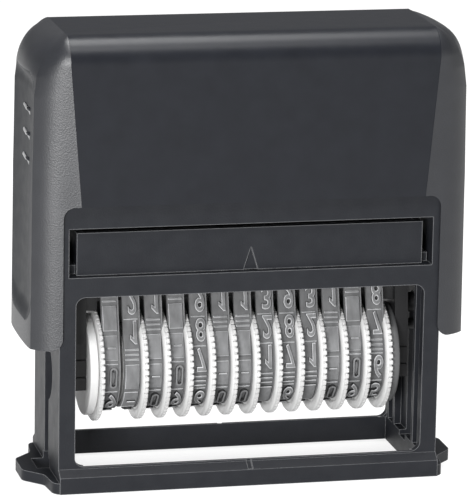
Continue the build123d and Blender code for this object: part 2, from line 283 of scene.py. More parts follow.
grip_rib_radius = 0.3
grip_rib_rings = 20
grip_rib_least_share = 0.35
least_ring_gap = 0.01
cap_inner_half = 31.735
cap_inner_depth = 10.95
cap_ceiling = 72.66
corner_wall = 1.0
cutter_overrun = 5
cutter_arc_steps = 8
ear_inner_front = 30.985
skirt_level = 47.1
ear_corner = 2.0
pocket_start = 32.985
pocket_width = 1.1
pocket_half_depth = 8.5
pocket_top = 65.16
pin_level = 26.5

# ---- small pieces and moulded edges ----
spring_offset = 20.0
spring_wire_radius = 0.45
spring_wire_steps = 3
spring_turns = 8
spring_turn_steps = 32
spring_smooth_angle = 40
post_radius = 3.2
post_length = 6.5
post_chamfer = 0.3
post_overlap = 0.5
post_steps = 40
felt_round = 0.35
felt_round_steps = 3
web_gap = 0.2
edge_angle = 30
edge_weld = 0.002
edge_flatness = 0.5
disc_round = 0.25
disc_round_steps = 3
axle_round = 0.15
axle_round_steps = 2


# ---- small helpers ----

def node_box(name):
    """Lowest and highest corners of a CAD node, in millimetres."""
    low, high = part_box(name)
    return np.array(low) / MM, np.array(high) / MM


def make_object(name, points, faces, smooth_angle=edge_angle):
    """Mesh object from points in millimetres."""
    mesh = bpy.data.meshes.new(name)
    mesh.from_pydata([tuple(p) for p in np.asarray(points, float) * MM], [], faces)
    mesh.update()
    soften(mesh, smooth_angle)
    thing = bpy.data.objects.new(name, mesh)
    bpy.context.collection.objects.link(thing)
    return thing


def soften(mesh, angle):
    """Smooth shading, with sharp edges over an angle in degrees."""
    mesh.polygons.foreach_set("use_smooth", [True] * len(mesh.polygons))
    mesh.set_sharp_from_angle(angle=radians(angle))


def apply_modifiers(thing, smooth_angle):
    """Bakes the modifiers of an object into its mesh."""
    graph = bpy.context.evaluated_depsgraph_get()
    baked = bpy.data.meshes.new_from_object(thing.evaluated_get(graph))
    thing.modifiers.clear()
    old = thing.data
    thing.data = baked
    bpy.data.meshes.remove(old)
    soften(baked, smooth_angle)


def remove(thing):
    """Deletes a helper object and its mesh."""
    mesh = thing.data
    bpy.data.objects.remove(thing)
    bpy.data.meshes.remove(mesh)


def mesh_of(curve):
    """Mesh of a curve or text."""
    helper = bpy.data.objects.new("helper", curve)
    bpy.context.collection.objects.link(helper)
    graph = bpy.context.evaluated_depsgraph_get()
    mesh = bpy.data.meshes.new_from_object(helper.evaluated_get(graph))
    bpy.data.objects.remove(helper)
    return mesh


def grid_faces(rows, count, start=0, closed=False):
    """Faces between rows of points that each close on themselves; closed joins the last row to the first."""
    faces = []
    for row in range(rows if closed else rows - 1):
        low = start + row * count
        high = start + (row + 1) % rows * count
        for k in range(count):
            after = (k + 1) % count
            faces.append((low + k, low + after, high + after, high + k))
    return faces


def solid_faces(rows, count):
    """Faces of a solid between rows of points, with both ends closed."""
    last = (rows - 1) * count
    return grid_faces(rows, count) + [tuple(reversed(range(count))), tuple(range(last, last + count))]


def smooth_step(value):
    """Soft step from 0 to 1."""
    t = min(1.0, max(0.0, value))
    return t * t * (3 - 2 * t)


def round_edges(thing, width, segments):
    """Moulded edges: joins the split points of a CAD mesh and rounds its sharp edges."""
    weld = thing.modifiers.new("weld", "WELD")
    weld.merge_threshold = edge_weld * MM
    flat = thing.modifiers.new("flat", "DECIMATE")
    flat.decimate_type = "DISSOLVE"
    flat.angle_limit = radians(edge_flatness)
    bevel = thing.modifiers.new("round", "BEVEL")
    bevel.width = width * MM
    bevel.segments = segments
    bevel.limit_method = "ANGLE"
    bevel.angle_limit = radians(edge_angle)
    bevel.harden_normals = True
    bevel.miter_outer = "MITER_ARC"


# ---- materials ----

def between(low, high):
    """Colour halfway between two."""
    return [(a + b) / 2 for a, b in zip(low, high)]


def new_material(name, colour, roughness, specular=plain_specular):
    """Material with one Principled shader; returns it with its tree and shader."""
    material = bpy.data.materials.new(name)
    material.use_nodes = True
    tree = material.node_tree
    shader = tree.nodes["Principled BSDF"]
    shader.inputs["Base Color"].default_value = (*colour, 1)
    shader.inputs["Roughness"].default_value = roughness
    shader.inputs["Specular IOR Level"].default_value = specular
    return material, tree, shader


def add_noise(tree, scale, detail=plain_detail, stretch=(1, 1, 1)):
    """Noise in object space; scale is in waves per metre."""
    coords = tree.nodes.new("ShaderNodeTexCoord")
    mapping = tree.nodes.new("ShaderNodeMapping")
    mapping.inputs["Scale"].default_value = stretch
    noise = tree.nodes.new("ShaderNodeTexNoise")
    noise.inputs["Scale"].default_value = scale
    noise.inputs["Detail"].default_value = detail
    tree.links.new(coords.outputs["Object"], mapping.inputs["Vector"])
    tree.links.new(mapping.outputs["Vector"], noise.inputs["Vector"])
    return noise.outputs["Fac"]


def add_bump(tree, shader, heights, depths):
    """Bump on the shader from one or more height outputs, depths in millimetres."""
    last = None
    for height, depth in zip(heights, depths):
        bump = tree.nodes.new("ShaderNodeBump")
        bump.inputs["Strength"].default_value = 1.0
        bump.inputs["Distance"].default_value = depth * MM
        tree.links.new(height, bump.inputs["Height"])
        if last:
            tree.links.new(last.outputs["Normal"], bump.inputs["Normal"])
        last = bump
    tree.links.new(last.outputs["Normal"], shader.inputs["Normal"])


def spread(tree, value, low, high):
    """Maps a noise value round its middle to the span low to high."""
    ramp = tree.nodes.new("ShaderNodeMapRange")
    ramp.inputs["From Min"].default_value = noise_low
    ramp.inputs["From Max"].default_value = noise_high
    ramp.inputs["To Min"].default_value = low
    ramp.inputs["To Max"].default_value = high
    tree.links.new(value, ramp.inputs["Value"])
    return ramp.outputs["Result"]


def tint(tree, shader, value, dark, light):
    """Base colour that wanders between two colours."""
    mix = tree.nodes.new("ShaderNodeMix")
    mix.data_type = "RGBA"
    mix.inputs["A"].default_value = (*dark, 1)
    mix.inputs["B"].default_value = (*light, 1)
    tree.links.new(spread(tree, value, 0, 1), mix.inputs["Factor"])
    tree.links.new(mix.outputs["Result"], shader.inputs["Base Color"])


def wear_and_highlight_edges(tree, shader):
    """Rubs the sharp edges to a paler colour: partly wear, partly a painted edge highlight."""
    rounded = tree.nodes.new("ShaderNodeBevel")
    rounded.samples = edge_wear_highlight_samples
    rounded.inputs["Radius"].default_value = edge_wear_highlight_reach * MM
    flat = tree.nodes.new("ShaderNodeNewGeometry")
    match = tree.nodes.new("ShaderNodeVectorMath")
    match.operation = "DOT_PRODUCT"
    tree.links.new(rounded.outputs["Normal"], match.inputs[0])
    tree.links.new(flat.outputs["Normal"], match.inputs[1])
    rubbed_or_lit = tree.nodes.new("ShaderNodeMapRange")
    rubbed_or_lit.inputs["From Min"].default_value = edge_wear_highlight_start
    rubbed_or_lit.inputs["From Max"].default_value = edge_wear_highlight_full
    tree.links.new(match.outputs["Value"], rubbed_or_lit.inputs["Value"])
    mix = tree.nodes.new("ShaderNodeMix")
    mix.data_type = "RGBA"
    tree.links.new(rubbed_or_lit.outputs["Result"], mix.inputs["Factor"])
    tree.links.new(shader.inputs["Base Color"].links[0].from_socket, mix.inputs["A"])
    mix.inputs["B"].default_value = (*edge_wear_highlight_colour, 1)
    tree.links.new(mix.outputs["Result"], shader.inputs["Base Color"])


def moulded_plastic(name):
    """Plastic with a spark-eroded grain, and with worn edges that also carry a painted highlight on the
    pieces that show them.
    """
    dark, light, roughness, grain_scale, grain_depth, specular = plastics[name]
    material, tree, shader = new_material(name, between(dark, light), sum(roughness) / 2, specular)
    fine = add_noise(tree, grain_scale, fine_detail)
    broad = add_noise(tree, grain_scale / broad_share, broad_detail)
    tint(tree, shader, broad, dark, light)
    tree.links.new(spread(tree, broad, *roughness), shader.inputs["Roughness"])
    add_bump(tree, shader, [fine], [grain_depth])
    if name in plastics_with_worn_highlit_edges:
        wear_and_highlight_edges(tree, shader)
    return material


def leather_grain(name):
    """Black plastic with the fine leathery grain of the cheeks."""
    colour = between(leather_dark, leather_light)
    material, tree, shader = new_material(name, colour, sum(leather_roughness) / 2, leather_specular)
    coords = tree.nodes.new("ShaderNodeTexCoord")
    cells = tree.nodes.new("ShaderNodeTexVoronoi")
    cells.feature = "F1"
    cells.inputs["Scale"].default_value = leather_cells
    tree.links.new(coords.outputs["Object"], cells.inputs["Vector"])
    fine = add_noise(tree, leather_fine, fine_detail)
    tint(tree, shader, add_noise(tree, leather_broad, broad_detail), leather_dark, leather_light)
    tree.links.new(spread(tree, fine, *leather_roughness), shader.inputs["Roughness"])
    add_bump(tree, shader, [cells.outputs["Distance"], fine], leather_depths)
    return material


def white_plastic(name):
    """Moulded white plastic of the wheels."""
    material, tree, shader = new_material(name, between(white_dark, white_light), white_roughness)
    tint(tree, shader, add_noise(tree, white_broad), white_dark, white_light)
    add_bump(tree, shader, [add_noise(tree, white_fine, fine_detail)], [white_depth])
    return material


def grey_rubber(name, level):
    """Matt rubber of the bands, with faint streaks, round a grey level."""
    middle = [level * share for share in rubber_cast]
    dark = [(1 - rubber_contrast) * c for c in middle]
    light = [(1 + rubber_contrast) * c for c in middle]
    material, tree, shader = new_material(name, middle, sum(rubber_roughness) / 2, rubber_specular)
    streaks = add_noise(tree, rubber_streaks, broad_detail, rubber_stretch)
    tint(tree, shader, streaks, dark, light)
    tree.links.new(spread(tree, streaks, *rubber_roughness), shader.inputs["Roughness"])
    add_bump(tree, shader, [add_noise(tree, rubber_fine)], [rubber_depth])
    return material


def inked_felt(name):
    """Felt soaked with black ink."""
    material, tree, shader = new_material(name, between(felt_dark, felt_light), felt_roughness, felt_specular)
    shader.inputs["Sheen Weight"].default_value = felt_sheen
    fibres = add_noise(tree, felt_fibres, fibre_detail)
    tint(tree, shader, fibres, felt_dark, felt_light)
    add_bump(tree, shader, [fibres], [felt_depth])
    return material


def steel(name, roughness, stretch):
    """Drawn or ground steel with fine lines."""
    material, tree, shader = new_material(name, between(steel_dark, steel_light), roughness)
    shader.inputs["Metallic"].default_value = 1.0
    lines = add_noise(tree, steel_lines, plain_detail, stretch)
    tint(tree, shader, lines, steel_dark, steel_light)
    span = spread(tree, lines, roughness - steel_smoother, roughness + steel_rougher)
    tree.links.new(span, shader.inputs["Roughness"])
    add_bump(tree, shader, [lines], [steel_depth])
    return material


def dress(thing, *materials):
    """Puts the materials on an object's slots."""
    thing.data.materials.clear()
    for material in materials:
        thing.data.materials.append(material)


def dress_node(name, material):
    """Puts a material on a CAD node through its object's own slots."""
    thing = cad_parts[name]
    if not thing.material_slots:
        thing.data.materials.append(material)
    for slot in thing.material_slots:
        slot.link = "OBJECT"
        slot.material = material
    return thing


# ---- path of a band, about the carrier's pivot ----

class BeltPath:
    """Line that the outer face of a band follows round the type bridge and its wheel's drum."""

    def __init__(self):
        inner_top = pivot_to_type - relief_height - band_thickness
        self.corner_r = bridge_corner + band_thickness
        self.drum_r = drum_radius + band_thickness
        self.corner_y = bridge_half_depth - bridge_bend_inset
        self.corner_z = inner_top - bridge_corner
        rise = self.corner_z + pivot_to_axle
        spare = self.drum_r - self.corner_r
        self.lean = asin(spare / hypot(self.corner_y, rise)) - atan2(self.corner_y, rise)
        self.bend = self.corner_r * (pi / 2 - self.lean)
        dy = self.corner_y + (self.corner_r - self.drum_r) * cos(self.lean)
        dz = rise + (self.corner_r - self.drum_r) * sin(self.lean)
        self.run = hypot(dy, dz)
        self.half = self.corner_y + self.bend + self.run + self.drum_r * (pi / 2 + self.lean)

    def place(self, along, height):
        """Y and Z of a point a distance along the band, down the front from the top, raised by height."""
        along = (along + self.half) % (2 * self.half) - self.half
        side = -1 if along >= 0 else 1
        rest = abs(along)
        if rest < self.corner_y:
            y, z, turn = rest, self.corner_z + self.corner_r, pi / 2
        elif rest < self.corner_y + self.bend:
            turn = pi / 2 - (rest - self.corner_y) / self.corner_r
            y = self.corner_y + self.corner_r * cos(turn)
            z = self.corner_z + self.corner_r * sin(turn)
        elif rest < self.corner_y + self.bend + self.run:
            step = rest - self.corner_y - self.bend
            turn = self.lean
            y = self.corner_y + self.corner_r * cos(turn) + step * sin(turn)
            z = self.corner_z + self.corner_r * sin(turn) - step * cos(turn)
        else:
            turn = self.lean - (rest - self.corner_y - self.bend - self.run) / self.drum_r
            y = self.drum_r * cos(turn)
            z = self.drum_r * sin(turn) - pivot_to_axle
        y += height * cos(turn)
        z += height * sin(turn)
        return side * y, z + pin_level


# ---- flat pattern of a band: x across, s along, h above the outer face ----

def slab(x0, x1, s0, s1, top):
    """Raised block with chamfered upper edges, cut into slices so that it can bend."""
    slices = max(1, int(round((s1 - s0) / slice_length)))
    flat_length = s1 - s0 - 2 * slab_chamfer
    shoulder = top - slab_chamfer
    rows = [(s0, -band_overlap), (s0, shoulder)]
    rows += [(s0 + slab_chamfer + flat_length * k / slices, top) for k in range(slices + 1)]
    rows += [(s1, shoulder), (s1, -band_overlap)]
    points = []
    for s, h in rows:
        low = min(h, shoulder)
        inset = slab_chamfer if h == top else 0.0
        points += [(x0, s, -band_overlap), (x0, s, low), (x0 + inset, s, h)]
        points += [(x1 - inset, s, h), (x1, s, low), (x1, s, -band_overlap)]
    return np.array(points), grid_faces(len(rows), len(points) // len(rows))


def figure_one():
    """Outline of a one with a long flag, as a flat curve."""
    curve = bpy.data.curves.new("glyph", "CURVE")
    curve.dimensions = "2D"
    curve.fill_mode = "BOTH"
    spline = curve.splines.new("POLY")
    spline.points.add(len(one_outline) - 1)
    for point, (x, y) in zip(spline.points, one_outline):
        point.co = (x, y, 0, 1)
    spline.use_cyclic_u = True
    return curve


def glyph(symbol):
    """A digit as a closed solid standing on the band; all but the one come from the built-in font."""
    if symbol == "1":
        curve = figure_one()
    else:
        curve = bpy.data.curves.new("glyph", "FONT")
        curve.body = symbol
        curve.align_x = "CENTER"
    curve.extrude = glyph_half
    curve.bevel_depth = digit_bevel
    curve.bevel_resolution = 0
    curve.resolution_u = glyph_curve_steps
    mesh = mesh_of(curve)
    shape = bmesh.new()
    shape.from_mesh(mesh)
    bpy.data.meshes.remove(mesh)
    bmesh.ops.remove_doubles(shape, verts=shape.verts, dist=glyph_weld)
    fit_glyph(shape)
    slice_glyph(shape)
    points = np.array([v.co[:] for v in shape.verts])
    faces = [tuple(v.index for v in f.verts) for f in shape.faces]
    shape.free()
    return points, faces


def fit_glyph(shape):
    """Scales a digit to its size on the band, in millimetres, with its top towards growing s."""
    points = np.array([v.co[:] for v in shape.verts])
    low = points.min(axis=0)
    high = points.max(axis=0)
    narrow = (high[0] - low[0]) / (high[1] - low[1]) < narrow_ratio
    width = digit_width * (narrow_width_share if narrow else 1.0)
    for v in shape.verts:
        v.co.x = digit_shift + ((v.co.x - low[0]) / (high[0] - low[0]) - 0.5) * width
        v.co.y = ((v.co.y - low[1]) / (high[1] - low[1]) - 0.5) * digit_height
        if v.co.z > glyph_half + digit_bevel / 2:
            v.co.z = relief_height
        else:
            v.co.z = relief_height - digit_chamfer if v.co.z > 0 else -band_overlap
    shape.normal_update()


def slice_glyph(shape):
    """Cuts a digit across the band every so often, so that it can bend with it."""
    cuts = int(digit_height / slice_length)
    for k in range(1, cuts):
        level = -digit_height / 2 + digit_height * k / cuts
        everything = list(shape.verts) + list(shape.edges) + list(shape.faces)
        bmesh.ops.bisect_plane(shape, geom=everything, plane_co=(0, level, 0), plane_no=(0, 1, 0))
    shape.verts.index_update()


def oval_slot():
    """The long narrow nought: a raised ring round a deep slot."""
    outer = []
    inner = []
    for k in range(slot_points):
        angle = 2 * pi * k / slot_points
        for ring, half_w, half_h in ((outer, slot_width / 2, slot_height / 2),
                                     (inner, slot_width / 2 - slot_stroke, slot_height / 2 - slot_stroke)):
            straight = half_h - half_w
            y = half_w * sin(angle) + (straight if sin(angle) > 0 else -straight)
            ring.append((digit_shift + half_w * cos(angle), y))
    rings = ((outer, -band_overlap), (outer, relief_height), (inner, relief_height), (inner, -band_overlap))
    points = [(x, y, height) for ring, height in rings for x, y in ring]
    return np.array(points, float), grid_faces(len(rings), slot_points, closed=True)


def ink_and_shade_spot(shift, half_width, half_height, middle):
    """Ink and painted shade in the closed counter of a digit, as a thin dark oval on the belt."""
    turns = [2 * pi * k / counter_points for k in range(counter_points)]
    points = []
    for height in (-band_overlap, ink_and_shade_depth):
        points += [(digit_shift + half_width * cos(t), middle + shift + half_height * sin(t), height)
                   for t in turns]
    return np.array(points), solid_faces(2, counter_points)


def symbol_parts(symbol, middle, glyphs):
    """Pieces of one cell of the band, in the flat pattern."""
    half = pad_length / 2
    left = -pad_width / 2 - pad_shift
    right = pad_width / 2 - pad_shift
    if symbol == "=":
        parts = []
        for k in range(ridge_count):
            s = middle + (k - (ridge_count - 1) / 2) * ridge_zone / ridge_count
            parts.append(slab(left, right, s - ridge_thickness / 2, s + ridge_thickness / 2, ridge_height))
        return parts
    if symbol == "_":
        return [slab(left, right, middle - half, middle + half, pad_height)]
    if symbol == "-":
        plate = slab(left, right, middle - half, middle + half, plinth_height)
        bar = slab(-dash_width / 2, dash_width / 2, middle - dash_thickness / 2,
                   middle + dash_thickness / 2, relief_height)
        return [plate, bar]
    points, faces = glyphs[symbol]
    moved = points + np.array([0, middle, 0])
    border = slab(left, right, middle - half - border_start, middle - half - border_end, plinth_height)
    spots = [ink_and_shade_spot(shift, w, h, middle) for shift, w, h in counters.get(symbol, ())]
    return [(moved, faces), border] + spots


def band_pattern(path, glyphs):
    """Flat pattern of a whole band: the belt, its rails and all its cells."""
    width = node_box("band_01")[1][0] - node_box("band_01")[0][0]
    half = width / 2
    total = 2 * path.half
    section = [(-half, -band_thickness), (-half, 0), (half, 0), (half, -band_thickness)]
    rail = [(half - rail_width, -band_overlap), (half - rail_width, rail_height),
            (half, rail_height), (half, -band_overlap)]
    points = []
    faces = []
    for outline in (section, rail):
        start = len(points)
        for row in range(band_samples):
            points += [(x, total * row / band_samples, h) for x, h in outline]
        faces += grid_faces(band_samples, len(outline), start, closed=True)
    s = 0.0
    for symbol in band_symbols:
        length = ridge_zone if symbol == "=" else cell_length
        for part_points, part_faces in symbol_parts(symbol, s + length / 2, glyphs):
            start = len(points)
            points += [tuple(p) for p in part_points]
            faces += [tuple(start + i for i in f) for f in part_faces]
        s += length
    return np.array(points, float), faces


def tone_faces(pattern):
    """Material of each face: the belt, darker with ink and painted shade; raised tops, lighter as painted
    light; worn edges, paler with a painted highlight; steep sides and counter spots, darkest as painted
    shade.
    """
    points, faces = pattern
    tones = []
    for face in faces:
        corners = points[list(face)]
        high, low = corners[:, 2].max(), corners[:, 2].min()
        if high < ink_and_shade_depth / 2:
            tones.append(belt_tone)
        elif high - low > steep_step or high <= ink_and_shade_depth:
            tones.append(shaded_side_tone)
        else:
            tones.append(raised_tone if high - low < flat_step else worn_and_highlit_tone)
    return tones


def make_band(index, path, pattern, tones, materials):
    """One number band, turned to the figures that it shows."""
    name = f"band_{index + 1:02d}"
    points, faces = pattern
    low, high = node_box(name)
    middle = (low[0] + high[0]) / 2
    roll = band_roll + band_steps[index] * cell_length
    placed = []
    for x, s, h in points:
        y, z = path.place(s + roll, h)
        placed.append((middle + x, y, z))
    band = make_object(name + "_rubber", placed, faces, band_smooth_angle)
    dress(band, *materials)
    band.data.polygons.foreach_set("material_index", tones)
    fix_normals(band)
    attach(band, "carrier")
    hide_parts(name)


def fix_normals(thing):
    """Turns every face of closed shells outwards."""
    shape = bmesh.new()
    shape.from_mesh(thing.data)
    bmesh.ops.recalc_face_normals(shape, faces=shape.faces)
    shape.to_mesh(thing.data)
    shape.free()


# ---- wheels ----

def tooth_shape(angle):
    """Depth of the rim's gaps at an angle, from 0 on a tooth to 1 in a gap."""
    return smooth_step(2 * cos(tooth_count * angle) - 1)


def wheel_profile(index, low, high, radius):
    """Half section of a wheel: X, radius, and how far the point sinks and leans in a tooth gap."""
    rim = node_box("wheel_02")[1][0] - node_box("band_02")[1][0] - side_gap
    left = low[0] if index == 0 else high[0] - rim
    right = left + rim
    step = left + rim * flange_share
    drum = drum_radius - drum_clearance
    dish = right - dish_depth
    teeth = [(step, radius, 0, 0), (step + flange_step, radius, flange_sink, 0),
             (right - tooth_bevel, radius, bevel_sink, bevel_lean), (right, radius - tooth_bevel, 1, 1),
             (right, radius - tooth_root, 0, 0)]
    back = [(dish, radius - dish_start, 0, 0)]
    if index == 0:
        edge_x, edge_r = smooth_face_edge
        face = [(left + dish_depth, wheel_bore, 0, 0), (left + dish_depth, drum, 0, 0),
                (left, bulge_start, 0, 0), (left, radius - edge_r, 0, 0), (left + edge_x, radius, 0, 0)]
        back += [(dish, drum, 0, 0), (high[0], drum, 0, 0), (high[0], wheel_bore, 0, 0)]
        return face + teeth + back
    face = [(low[0], wheel_bore, 0, 0), (low[0], drum, 0, 0), (left, drum, 0, 0), (left, bulge_start, 0, 0)]
    face += bulge_points(left, radius)
    return face + [(left + rim_edge, radius, 0, 0)] + teeth + back + [(dish, wheel_bore, 0, 0)]


def bulge_points(left, radius):
    """Round bulge of a wheel's smooth flange."""
    points = []
    for turn in range(-bulge_turns, bulge_turns + 1):
        angle = radians(turn * bulge_turn)
        share = bulge_outer_share if turn > 0 else bulge_inner_share
        x = left - bulge_reach + bulge_reach * (1 - cos(angle)) * share
        points.append((x, (bulge_start + radius) / 2 + (radius - bulge_start) / 2 * sin(angle), 0, 0))
    return points


def make_wheel(index, material):
    """A setting wheel: rounded flange, toothed rim, dished faces, drum and bore."""
    name = f"wheel_{index + 1:02d}"
    low, high = node_box(name)
    radius = (high[2] - low[2]) / 2
    axle = (high[2] + low[2]) / 2
    profile = wheel_profile(index, low, high, radius)
    samples = tooth_count * tooth_samples
    points = []
    for k in range(samples):
        angle = 2 * pi * k / samples
        gap = tooth_shape(angle)
        for x, r, sink, lean in profile:
            reach = r - tooth_depth * gap * sink
            points.append((x - tooth_lean * gap * lean, reach * cos(angle), axle + reach * sin(angle)))
    faces = grid_faces(samples, len(profile), closed=True)
    wheel = make_object(name + "_white", points, faces, wheel_smooth_angle)
    fix_normals(wheel)
    dress(wheel, material)
    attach(wheel, name)
    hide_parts(name)


# ---- cap ----

def bezier(p0, p1, p2, p3, t):
    """Point of a cubic curve."""
    s = 1 - t
    return s ** 3 * p0 + 3 * s * s * t * p1 + 3 * s * t * t * p2 + t ** 3 * p3


class CapShape:
    """Outer surface of the cap: a soft pillow with a grip scooped out of each side face."""

    def __init__(self):
        low, high = node_box("cap")
        self.depth = high[1]
        self.top = high[2]
        self.bottom = low[2]
        self.turn = self.top - cap_corner_height
        self.round_start = self.top - cap_round
        shoulder = radians(cap_shoulder_angle)
        lead_x = panel_half_top + cap_shoulder_reach * cos(shoulder)
        lead_z = self.top - cap_shoulder_reach * sin(shoulder)
        steps = np.linspace(0, 1, side_curve_points)
        rise = self.turn + cap_corner_pull * cap_corner_height
        self.side_x = [bezier(cap_side_half, cap_side_half, lead_x, panel_half_top, t) for t in steps]
        self.side_z = [bezier(self.turn, rise, lead_z, self.top, t) for t in steps]

    def side(self, z):
        """Half width of the cap at a level."""
        return float(np.interp(z, self.side_z, self.side_x))

    def front(self, z):
        """Half depth of the cap at a level."""
        rise = max(0.0, z - self.round_start)
        return self.depth - cap_round + sqrt(max(0.0, cap_round ** 2 - rise ** 2))

    def border(self, z):
        """Half width of the smooth centre panel at a level."""
        share = min(1.0, max(0.0, (z - skirt_level) / (self.round_start - skirt_level)))
        return panel_half_skirt + (panel_half_top - panel_half_skirt) * share

    def rim(self, z):
        """Place of the rim between cheek and side at a level, and how sharp it is."""
        share = float(np.interp(z, rim_levels, rim_shares))
        sharp = min(1.0, (share - rim_shares[-1]) / (rim_sharp_share - rim_shares[-1]))
        x = self.border(z) + share * (self.side(z) - self.border(z))
        return x, rim_depth_share * self.front(z), sharp

    def quarter(self, z):
        """Outline of the front right quarter at a level, from the middle of the panel to the side."""
        inner = self.border(z) - panel_step
        depth = self.front(z) - panel_inset
        points = [(inner * k / panel_steps, depth) for k in range(panel_steps + 1)]
        x, y, sharp = self.rim(z)
        cheek_turn = dome_angle + sharp * (cheek_end_angle - dome_angle)
        side_turn = dome_angle + sharp * (side_start_angle - dome_angle)
        border = (self.border(z), self.front(z))
        points += bent(border, cheek_start_angle, (x, y), cheek_turn, cheek_steps)[:-1]
        side = bent((x, y), side_turn, (self.side(z), 0.0), 90.0, side_steps)
        return points + [(self.scooped(px, py, z, x, y), py) for px, py in side]

    def scooped(self, pillow, y, z, rim_x, rim_y):
        """Half width inside the rim: the pillow, less the hollow of the grip, plus its ribs."""
        hollow = pillow - rim_x + grip_sag * (1 - (y / rim_y) ** 2)
        return pillow - hollow * grip_share(y, z, rim_y) + grip_rib(y, z)


def bent(start, start_angle, end, end_angle, steps):
    """Curve from start to end that turns backwards between two angles, in degrees."""
    dx = end[0] - start[0]
    dy = start[1] - end[1]
    reach = curve_pull * hypot(dx, dy)
    first, last = radians(start_angle), radians(end_angle)
    lead = min(reach, curve_pull_limit * dx / max(cos(first), least_cosine))
    follow = min(reach, curve_pull_limit * dx / max(cos(last), least_cosine))
    xs = (start[0], start[0] + lead * cos(first), end[0] - follow * cos(last), end[0])
    ys = (start[1], start[1] - lead * sin(first), end[1] + follow * sin(last), end[1])
    return [(bezier(*xs, k / steps), bezier(*ys, k / steps)) for k in range(steps + 1)]


def grip_share(y, z, rim_y):
    """1 in the hollow of the grip and 0 above and below it, with soft walls and rounded corners."""
    if abs(y) >= rim_y:
        return 0.0
    past = max(0.0, abs(y) - rim_y + grip_corner) / grip_corner
    drop = grip_corner * (1 - sqrt(1 - past * past))
    return smooth_step((grip_top - drop - z) / grip_edge) * smooth_step((z - grip_bottom - drop) / grip_edge)


def grip_rib(y, z):
    """Height of the ribs on the floor of the grip."""
    height = 0.0
    for level in grip_rib_levels:
        away = abs(z - level - grip_rib_slope * y) / grip_rib_radius
        along = smooth_step((grip_rib_half_length - abs(y)) / grip_rib_radius)
        height = max(height, grip_rib_height * along * sqrt(max(0.0, 1 - away * away)))
    return height


def cap_levels(shape):
    """Heights of the rings, closer together in the rounded top."""
    count = int((shape.round_start - shape.bottom) / cap_ring_step)
    levels = [shape.bottom + (shape.round_start - shape.bottom) * k / count for k in range(count + 1)]
    for k in range(1, cap_round_steps + 1):
        levels.append(shape.round_start + cap_round * sin(pi / 2 * k / cap_round_steps))
    for middle in grip_rib_levels:
        reach = grip_rib_radius + grip_rib_slope * grip_rib_half_length
        levels += list(np.linspace(middle - reach, middle + reach, grip_rib_rings))
    levels.sort()
    return [z for z, after in zip(levels, levels[1:] + [shape.top + 1]) if after - z > least_ring_gap]


def cap_skin(shape):
    """Closed outer skin of the cap, before it is hollowed."""
    points = []
    levels = cap_levels(shape)
    for z in levels:
        quarter = shape.quarter(z)
        right = [(x, -y) for x, y in quarter] + [(x, y) for x, y in reversed(quarter[:-1])]
        ring = right + [(-x, y) for x, y in reversed(right[1:-1])]
        points += [(x, y, z) for x, y in ring]
    return make_object("cap_shell", points, solid_faces(len(levels), len(ring)), cap_smooth_angle)


def prism(outline, y0, y1):
    """Solid along Y of an outline in X and Z."""
    points = [(x, y, z) for y in (y0, y1) for x, z in outline]
    cutter = make_object("cutter", points, solid_faces(2, len(outline)))
    fix_normals(cutter)
    return cutter


def arc(cx, cz, radius, start, stop):
    """Points of an arc in X and Z, angles in degrees."""
    steps = cutter_arc_steps
    turns = [radians(start + (stop - start) * k / steps) for k in range(steps + 1)]
    return [(cx + radius * cos(t), cz + radius * sin(t)) for t in turns]


def cut(thing, cutter):
    """Takes a cutter away from an object."""
    boolean = thing.modifiers.new("cut", "BOOLEAN")
    boolean.operation = "DIFFERENCE"
    boolean.solver = "EXACT"
    boolean.object = cutter
    apply_modifiers(thing, cap_smooth_angle)
    remove(cutter)


def cap_cutters(shape):
    """The room inside the cap, the opening between its ears and the pockets inside them."""
    below = shape.bottom - cutter_overrun
    radius = cap_round - corner_wall
    inner = [(-cap_inner_half, below), (cap_inner_half, below)]
    inner += arc(cap_inner_half - radius, cap_ceiling - radius, radius, 0, 90)
    inner += arc(-cap_inner_half + radius, cap_ceiling - radius, radius, 90, 180)
    yield prism(inner, -cap_inner_depth, cap_inner_depth)
    right = arc(ear_inner_front + ear_corner, shape.bottom + ear_corner, ear_corner, 270, 180)
    right += arc(ear_inner_front - ear_corner, skirt_level - ear_corner, ear_corner, 0, 90)
    left = [(-x, z) for x, z in reversed(right)]
    foot = [(-ear_inner_front - ear_corner, below), (ear_inner_front + ear_corner, below)]
    yield prism(foot + right + left, -2 * shape.depth, 2 * shape.depth)
    for side in (-1, 1):
        x0, x1 = sorted((side * pocket_start, side * (pocket_start + pocket_width)))
        pocket = [(x0, below), (x1, below), (x1, pocket_top), (x0, pocket_top)]
        yield prism(pocket, -pocket_half_depth, pocket_half_depth)


def make_post(name, x, low, high):
    """Upright round post with a chamfered foot."""
    turns = [2 * pi * k / post_steps for k in range(post_steps)]
    rows = [(post_radius - post_chamfer, low), (post_radius, low + post_chamfer), (post_radius, high)]
    points = [(x + r * cos(t), r * sin(t), z) for r, z in rows for t in turns]
    return make_object(name, points, solid_faces(len(rows), post_steps))


def grain_faces(cap, shape):
    """Cheeks grained, the hollow of the grip matt, its ribs pale as a painted glint, the rest smooth."""
    for face in cap.data.polygons:
        x, y, z = face.center / MM
        rim_x, rim_y = shape.rim(z)[:2]
        hollow = abs(x) > rim_x - grip_sag - grip_margin and grip_share(y, z, rim_y) > grip_least_share
        rib = hollow and grip_rib(y, z) > grip_rib_least_share * grip_rib_height
        skin = grained_skin if abs(x) > shape.border(z) else smooth_skin
        face.material_index = glint_skin if rib else matt_skin if hollow else skin


